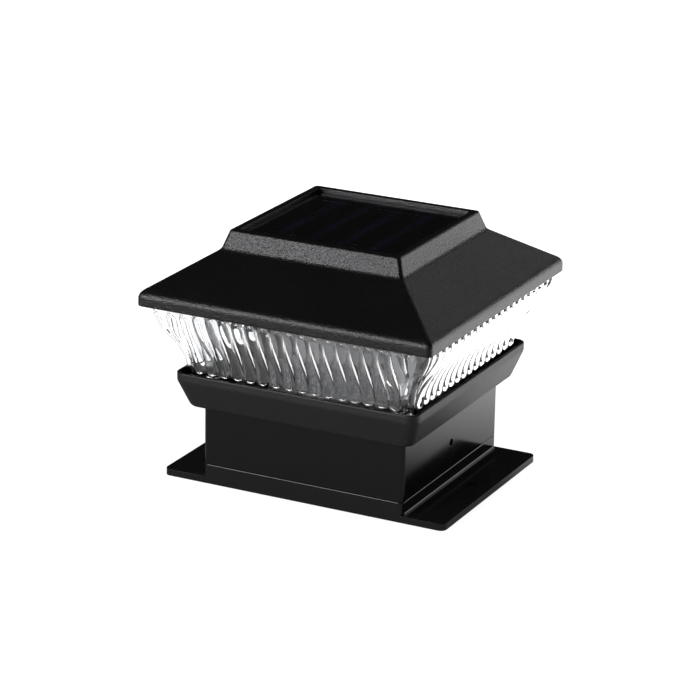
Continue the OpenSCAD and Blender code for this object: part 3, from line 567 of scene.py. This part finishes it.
def make_tray():
    """A square dish with flaring sides, an upright band at its lip and a ledge for the lens."""
    flare, band_h, corner, ledge = 4.7, 3.9, 5.0, 3.8
    foot_in, foot_up, bend, lip_r, mouth_r = 1.8, 1.6, 0.8, 0.5, 0.3
    near, far = 0.2, 0.3
    foot, band_z = TRAY_HALF - flare, TRAY_TOP - band_h

    def side(z):
        return (foot + flare * min(1.0, (z - TRAY_LOW) / (band_z - TRAY_LOW)), z)

    mouth = TRAY_HALF - LIP_WALL
    spots = round_over((foot - foot_in, TRAY_LOW), (foot, TRAY_LOW), side(TRAY_LOW + foot_up), 6)
    spots += [side(TRAY_LOW + foot_up + 2 * near), side(band_z - bend - far)]
    spots += round_over(side(band_z - bend), (TRAY_HALF, band_z), (TRAY_HALF, band_z + bend), 4)
    spots += [(TRAY_HALF, band_z + bend + far), (TRAY_HALF, TRAY_TOP - lip_r - near)]
    spots += round_over(
        (TRAY_HALF, TRAY_TOP - lip_r), (TRAY_HALF, TRAY_TOP), (TRAY_HALF - lip_r, TRAY_TOP), 4)
    spots += [(mouth + mouth_r + near, TRAY_TOP)]
    spots += round_over((mouth + mouth_r, TRAY_TOP), (mouth, TRAY_TOP), (mouth, TRAY_TOP - mouth_r), 3)
    rings = []
    for x, z in spots:
        in_lip = TRAY_HALF - x if z > TRAY_TOP - lip_r - 0.1 else 0.0
        rings.append((x, corner - max(0.0, foot - x) - in_lip, z))
    inner = corner - LIP_WALL
    rings += [(mouth, inner, SEAT_Z + near), (mouth, inner, SEAT_Z)]
    rings += [(mouth - ledge, inner, SEAT_Z), (mouth - ledge, inner, FLOOR_Z)]
    settle(square_loft(rings), "tray", tray_black, "cap", ("lens_tray",))


def make_tray_bosses():
    """Inside the tray: four screw bosses, and the round wall that centres the reflector."""
    boss_at, boss_r, boss_top_r, boss_h, sunk = 36.0, 4.0, 3.8, 5.0, 0.1
    ring_r, ring_t, ring_h = CONE_R - CONE_WALL - 0.2, 1.6, 3.0
    low = FLOOR_Z - sunk
    bm = bmesh.new()
    for x in (-boss_at, boss_at):
        for y in (-boss_at, boss_at):
            upright(bm, x, y, low, low + boss_h, boss_r, boss_top_r)
    top = FLOOR_Z + ring_h
    spun(bm, [(ring_r, low), (ring_r, top), (ring_r - ring_t, top), (ring_r - ring_t, low)], 96)
    settle(bm, "tray_bosses", tray_black, "cap")


def make_reflector():
    """A cone with hollow sides on an upright skirt, spun from the outline of its wall."""
    skirt_h, rise, power, count = 7.0, 11.0, 2.2, 28
    brim_z = FLOOR_Z + skirt_h
    top = [(CONE_R * (1 - k / count), brim_z + rise * (k / count) ** power) for k in range(1, count)]
    outer = [(CONE_R, FLOOR_Z), (CONE_R, FLOOR_Z + 0.4)]
    outer += [(CONE_R, brim_z - 0.5), (CONE_R - 0.15, brim_z - 0.12)]
    tip = [(0.0, brim_z + rise - 0.4), (0.0, brim_z + rise - 2 * CONE_WALL)]
    inner = [(x - CONE_WALL, z - CONE_WALL) for x, z in reversed(top)]
    inner += [(CONE_R - CONE_WALL, brim_z - CONE_WALL), (CONE_R - CONE_WALL, FLOOR_Z)]
    bm = bmesh.new()
    spun(bm, outer + top + tip + inner, 120)
    settle(bm, "reflector", mirror_silver, "cap", ("reflector_cone",))


make_tray()
make_tray_bosses()


# Square base, and the pieces whose CAD shape only needs softer edges

COLLAR_Z = 9.6
SLEEVE_HALF = cad("post_sleeve", 1, "x")
FLANGE_HALF = cad("base_adapter", 1, "x")
FLANGE_T = cad("post_sleeve", 0, "z")


def foot_fillet(bm, side, radius, length):
    """A concave strip where the collar's side meets the top of an ear."""
    sunk, steps = 0.3, 6
    spots = []
    for k in range(steps + 1):
        t = math.radians(180 + 90 * k / steps)
        spots.append((SLEEVE_HALF + radius + radius * math.cos(t), FLANGE_T + radius + radius * math.sin(t)))
    low, inside = FLANGE_T - sunk, SLEEVE_HALF - sunk
    spots += [(SLEEVE_HALF + radius, low), (inside, low), (inside, FLANGE_T + radius)]
    face = bm.faces.new([bm.verts.new((side * x * MM, -length / 2 * MM, z * MM)) for x, z in spots])
    made = bmesh.ops.extrude_face_region(bm, geom=[face])["geom"]
    bmesh.ops.translate(bm, verts=points_of(made), vec=(0, length * MM, 0))


def make_base():
    """Flange with its two ears, a collar flush with the sleeve, and a spigot inside the sleeve's foot."""
    sleeve_wall, play, inset, over, hole_half = 2.2, 0.2, 0.02, 1.0, 46.0
    flange_corner, corner, ear_r, edge_r = 3.0, 2.4, 2.25, 0.7
    ear_at = (FLANGE_HALF + SLEEVE_HALF) / 2
    half, spigot, bore = SLEEVE_HALF, SLEEVE_HALF - sleeve_wall - play, hole_half + inset
    spigot_z = COLLAR_Z + 5.0
    bits = [block(2 * hole_half, 2 * hole_half, -over, FLANGE_T + over, INNER_R)]
    bits += [drill(ear_r, -over, FLANGE_T + over, side * ear_at) for side in (-1, 1)]
    flange = cut_from(block(2 * FLANGE_HALF, 2 * (half - inset), 0.0, FLANGE_T, flange_corner), bits)
    ease(flange, edge_r, 4)
    spots = round_over((half - 0.4, 0.0), (half, 0.0), (half, 0.4), 3)
    spots += [(half, edge_r), (half, COLLAR_Z - 1.0)]
    spots += round_over((half, COLLAR_Z - edge_r), (half, COLLAR_Z), (half - edge_r, COLLAR_Z), 5)
    spots += [(half - 1.0, COLLAR_Z), (spigot, COLLAR_Z)]
    spots += round_over((spigot, spigot_z - edge_r), (spigot, spigot_z), (spigot - edge_r, spigot_z), 4)
    spots += round_over((bore + edge_r, spigot_z), (bore, spigot_z), (bore, spigot_z - edge_r), 4)
    spots += [(bore, 0.0)]
    collar = square_loft([(x, corner if x > spigot else INNER_R, z) for x, z in spots], True)
    for side in (-1, 1):
        foot_fillet(collar, side, 1.1, 2 * (half - corner))
    bmesh.ops.recalc_face_normals(collar, faces=collar.faces[:])
    settle(collar, "base_collar", base_black, "base", (), 40.0)
    settle(flange, "base_flange", base_black, "base", ("base_adapter",), 40.0)


def make_window():
    """The panel's clear cover, with its cut sides black where they lie against the seal."""
    window = eased_copy("panel_cover", "panel_window", "head", 0.15)
    window.data.materials.append(seal_foam)
    for face in window.data.polygons:
        if abs(face.normal.z) < 0.5:
            face.material_index = 1


make_base()
eased_copy("post_sleeve", "sleeve", "cap", 0.35, COLLAR_Z + 0.15)
eased_copy("lamp_housing", "lamp_drum", "head", 0.3)
eased_copy("battery_door", "battery_hatch", "battery_door", 0.2)
eased_copy("switch_knob", "switch_slider", "switch_knob", 0.2)
make_window()
make_reflector()


# Fluted lens

FLUTES, SPLIT = 22, 12
LENS_PLAY, LENS_INSET = 0.5, 0.9
LENS_TOP = 2 * (ROOF_HALF - LENS_INSET)
LENS_FOOT = 2 * (TRAY_HALF - LIP_WALL - LENS_PLAY)
PITCH = LENS_TOP / FLUTES
FOOT_Z = SEAT_Z + 3.4
LENS_R, LENS_WALL = 5.0, 1.6
FLUTE_D, FLUTE_END, FULLNESS = 1.2, PITCH / 2, 2.6


def lens_half(z):
    """Half width of the lens across its flutes' crests at a height."""
    t = max(0.0, min(1.0, (z - FOOT_Z) / (RIM_Z - FOOT_Z))) ** 1.2
    return LENS_FOOT / 2 + (LENS_TOP - LENS_FOOT) / 2 * t * t * (3 - 2 * t)


def flute(x, z, reach):
    """How far a flute stands out at a place along the face, from 0 at its edge to 1 on its crest."""
    across = 2 * (abs(x) / PITCH - math.floor(abs(x) / PITCH)) - 1
    along = max(0.0, FOOT_Z + FLUTE_END - z, z - (RIM_Z - FLUTE_END)) / FLUTE_END
    fade = max(0.0, min(1.0, (reach - abs(x)) / FLUTE_END))
    return (1 - min(1.0, math.hypot(across, along)) ** FULLNESS) * fade


def lens_columns():
    """Places along half a face, packed close at the grooves."""
    spots = []
    for number in range(FLUTES):
        middle = (number + 0.5 - FLUTES / 2) * PITCH
        for k in range(SPLIT):
            spots.append(middle + PITCH / 2 * math.sin(math.pi * (k / SPLIT - 0.5)))
    return spots


COLUMNS = lens_columns()


def lens_ring(bm, verts, z, half, radius, depth):
    """Moves a ring of points on to a rounded square, its straight sides fluted to a stated depth."""
    tag = bm.verts.layers.int["place"]
    last, reach = LENS_TOP / 2, half - radius
    spots = []
    for x in COLUMNS:
        if abs(x) <= reach:
            spots.append((half + depth * flute(x, z, reach), x))
        else:
            turn = math.radians(45 * (abs(x) - reach) / (last - reach))
            spots.append((reach + radius * math.cos(turn), math.copysign(reach + radius * math.sin(turn), x)))
    for v in verts:
        quarter, k = divmod(v[tag], len(COLUMNS))
        out, along = spots[k]
        c, s = QUARTER_COS[quarter], QUARTER_SIN[quarter]
        v.co = ((out * c - along * s) * MM, (out * s + along * c) * MM, z * MM)


def make_lens():
    """One closed wall: fluted outside, upright tongue inside the roof's rim, and smooth inside."""
    rounds, flats, tongue_play, band = 12, 20, 0.3, 4.0
    curve = [math.pi / 2 * k / rounds for k in range(1, rounds + 1)]
    straight = RIM_Z - FOOT_Z - 2 * FLUTE_END
    heights = [SEAT_Z, SEAT_Z + 0.3, FOOT_Z - 0.5, FOOT_Z]
    heights += [FOOT_Z + FLUTE_END * (1 - math.cos(t)) for t in curve]
    heights += [FOOT_Z + FLUTE_END + straight * k / flats for k in range(1, flats + 1)]
    heights += [RIM_Z - FLUTE_END + FLUTE_END * math.sin(t) for t in curve]
    walls = [(z, lens_half(z) - FLUTE_D, LENS_R, FLUTE_D) for z in heights]
    tongue, tongue_z = ROOF_HALF - ROOF_WALL - tongue_play, cad("lens", 1, "z")
    walls += [(RIM_Z, tongue, LENS_R, 0.0), (tongue_z, tongue, LENS_R, 0.0)]
    inside = [tongue_z, RIM_Z, RIM_Z - 3.0] + [SEAT_Z + band * k for k in range(7, 1, -1)] + [FOOT_Z, SEAT_Z]
    walls += [(z, lens_half(z) - FLUTE_D - LENS_WALL, LENS_R - LENS_WALL, 0.0) for z in inside]
    bm = tagged_circle(4 * len(COLUMNS))
    ring = first = bm.edges[:]
    lens_ring(bm, bm.verts[:], *walls[0])
    for wall in walls[1:]:
        ring, verts = pull(bm, ring)
        lens_ring(bm, verts, *wall)
    bmesh.ops.bridge_loops(bm, edges=first + ring)
    bmesh.ops.recalc_face_normals(bm, faces=bm.faces[:])
    settle(bm, "fluted_lens", clear_lens, "head", ("lens",), 50.0, False)


def make_pillars():
    """Clear screw pillars in the lens's corners, each tied to the corner by one web."""
    at, radius, hole, head, bore_h, pillar_h = LENS_FOOT / 2 - 11.9, 4.5, 1.7, 3.0, 8.0, 16.0
    web_t, web_h, web_z, gap, step = 2.0, 7.0, SEAT_Z + 3.6, 0.05, 0.2
    top, bore_z = SEAT_Z + pillar_h, SEAT_Z + bore_h
    profile = [(radius, SEAT_Z + step), (radius, top), (hole, top), (hole, bore_z)]
    profile += [(head, bore_z), (head, SEAT_Z), (radius - step, SEAT_Z)]
    bm = bmesh.new()
    spun(bm, profile, 48)
    bmesh.ops.translate(bm, verts=bm.verts[:], vec=(at * MM, at * MM, 0))
    web = bmesh.ops.create_cube(bm, size=1.0)["verts"]
    start = at * math.sqrt(2) + radius + gap
    stop = (lens_half(SEAT_Z) - FLUTE_D - LENS_R) * math.sqrt(2) + LENS_R - LENS_WALL - gap
    bmesh.ops.scale(bm, verts=web, vec=((stop - start) * MM, web_t * MM, web_h * MM))
    bmesh.ops.translate(bm, verts=web, vec=((start + stop) / 2 * MM, 0, web_z * MM))
    bmesh.ops.rotate(bm, verts=web, cent=(0, 0, 0), matrix=Matrix.Rotation(math.tau / 8, 3, "Z"))
    whole = bm.verts[:] + bm.edges[:] + bm.faces[:]
    for quarter in (1, 2, 3):
        made = bmesh.ops.duplicate(bm, geom=whole)["geom"]
        turn = Matrix.Rotation(math.tau / 4 * quarter, 3, "Z")
        bmesh.ops.rotate(bm, verts=points_of(made), cent=(0, 0, 0), matrix=turn)
    settle(bm, "lens_pillars", clear_lens, "head")


make_lens()
make_pillars()


# Studio

AIM = Vector((0, 0, 0.06))


def make_floor():
    """Pale floor: white to the camera and through glass. Glossy rays see a painted reflection that brightens
    behind, and the diffuse colour is darker in front, a painted shade.
    """
    back_x, back_y, fade_from, fade_to = 0.25, 0.97, 0.03, 0.16
    painted_shine, painted_shine_front, seen_white = 1.4, 0.1, 0.9
    bm = bmesh.new()
    bmesh.ops.create_grid(bm, x_segments=1, y_segments=1, size=6.0)
    floor = linked("studio_floor", mesh_from(bm, "studio_floor"))
    mat, s = new_material("studio floor")
    seen = s.add("LightPath").outputs
    white = s.math("ADD", seen["Is Camera Ray"], seen["Is Transmission Ray"], True)
    where = s.add("SeparateXYZ", {0: s.add("TexCoord").outputs["Object"]}).outputs
    # rise grows from the front of the floor to its back. It drives both the painted reflection and the
    # painted shade.
    rise = s.remap(s.weighed(where[0], back_x, where[1], back_y), fade_from, fade_to)
    level = s.math("ADD", s.math("MULTIPLY", rise, painted_shine), painted_shine_front)
    # Painted reflection: an emission that only glossy rays see, brighter behind.
    painted_glint = s.math("MULTIPLY", seen["Is Glossy Ray"], level)
    strength = s.math("ADD", s.math("MULTIPLY", white, seen_white), painted_glint)
    glow = s.add("Emission", {"Color": rgb(1, 1, 1), "Strength": strength})
    # Painted shade: the floor's diffuse colour is darker in front than behind.
    matt = s.add("BsdfDiffuse", {"Color": s.blend(rise, rgb(0.25, 0.25, 0.25), rgb(0.8, 0.8, 0.8))})
    both = s.add("AddShader", {0: glow.outputs[0], 1: matt.outputs[0]})
    s.feed(s.add("OutputMaterial").inputs["Surface"], both.outputs[0])
    floor.data.materials.append(mat)


def make_world():
    """White air for the camera and through the lens, and dim soft light for everything else."""
    soft_level, gloss_level = 0.44, 0.012
    world = bpy.data.worlds.new("studio air")
    bpy.context.scene.world = world
    world.use_nodes = True
    s = Sheet(world.node_tree)
    world.node_tree.nodes.clear()
    seen = s.add("LightPath").outputs
    turns = s.math("ADD", seen["Diffuse Depth"], seen["Glossy Depth"])
    through = s.math("MULTIPLY", seen["Is Transmission Ray"], s.math("LESS_THAN", turns, 0.5))
    white = s.math("ADD", seen["Is Camera Ray"], through, True)
    soft = s.math("MULTIPLY", s.math("MINIMUM", seen["Diffuse Depth"], 1.0), soft_level)
    level = s.math("MAXIMUM", white, s.math("ADD", soft, gloss_level))
    air = s.add("Background", {"Color": rgb(1, 1, 1), "Strength": level})
    s.feed(s.add("OutputWorld").inputs["Surface"], air.outputs[0])


def softbox(name, way, distance, size, level, tint=(1, 1, 1)):
    """A soft lamp of a stated brightness on a direction from the object, turned to face it."""
    lamp = bpy.data.lights.new(name, "AREA")
    lamp.shape = "RECTANGLE"
    lamp.size, lamp.size_y = size
    lamp.energy = level * math.pi * size[0] * size[1]
    lamp.color = tint
    obj = linked(name, lamp)
    back = Vector(way).normalized()
    obj.location = AIM + back * distance
    obj.rotation_euler = back.to_track_quat("Z", "Y").to_euler()


def make_camera():
    """The camera solved from the object's measured corners, for a square picture of 700 pixels."""
    picture, focal, axis_x, axis_y, sensor = 700.0, 3055.87, 353.79, 346.03, 36.0
    az, el, roll = math.radians(26.36), math.radians(18.88), math.radians(1.11)
    reach = 1.41086
    back = Vector((math.sin(az) * math.cos(el), -math.cos(az) * math.cos(el), math.sin(el)))
    right = Vector((math.cos(az), math.sin(az), 0))
    up = back.cross(right)
    across = right * math.cos(roll) + up * math.sin(roll)
    upward = up * math.cos(roll) - right * math.sin(roll)
    cam = bpy.data.cameras.new("studio camera")
    cam.sensor_width = sensor
    cam.lens = focal * sensor / picture
    cam.shift_x = (picture / 2 - axis_x) / picture
    cam.shift_y = (axis_y - picture / 2) / picture
    cam.clip_end = 50.0
    obj = linked("studio camera", cam)
    turn = Matrix((across, upward, back)).transposed()
    obj.matrix_world = Matrix.Translation(AIM + back * reach) @ turn.to_4x4()
    bpy.context.scene.camera = obj


make_floor()
make_world()
softbox("front left box", (-0.42, -0.87, 0.27), 1.3, (0.8, 0.4), 12.0, (0.97, 0.97, 1.0))
softbox("back right box", (0.56, 0.83, 0.06), 1.5, (1.3, 0.36), 1.9, (1.0, 0.985, 0.99))
softbox("high back box", (0.12, 0.85, 0.52), 1.5, (0.62, 0.62), 0.8)
make_camera()
bpy.context.scene.view_settings.view_transform = "Standard"
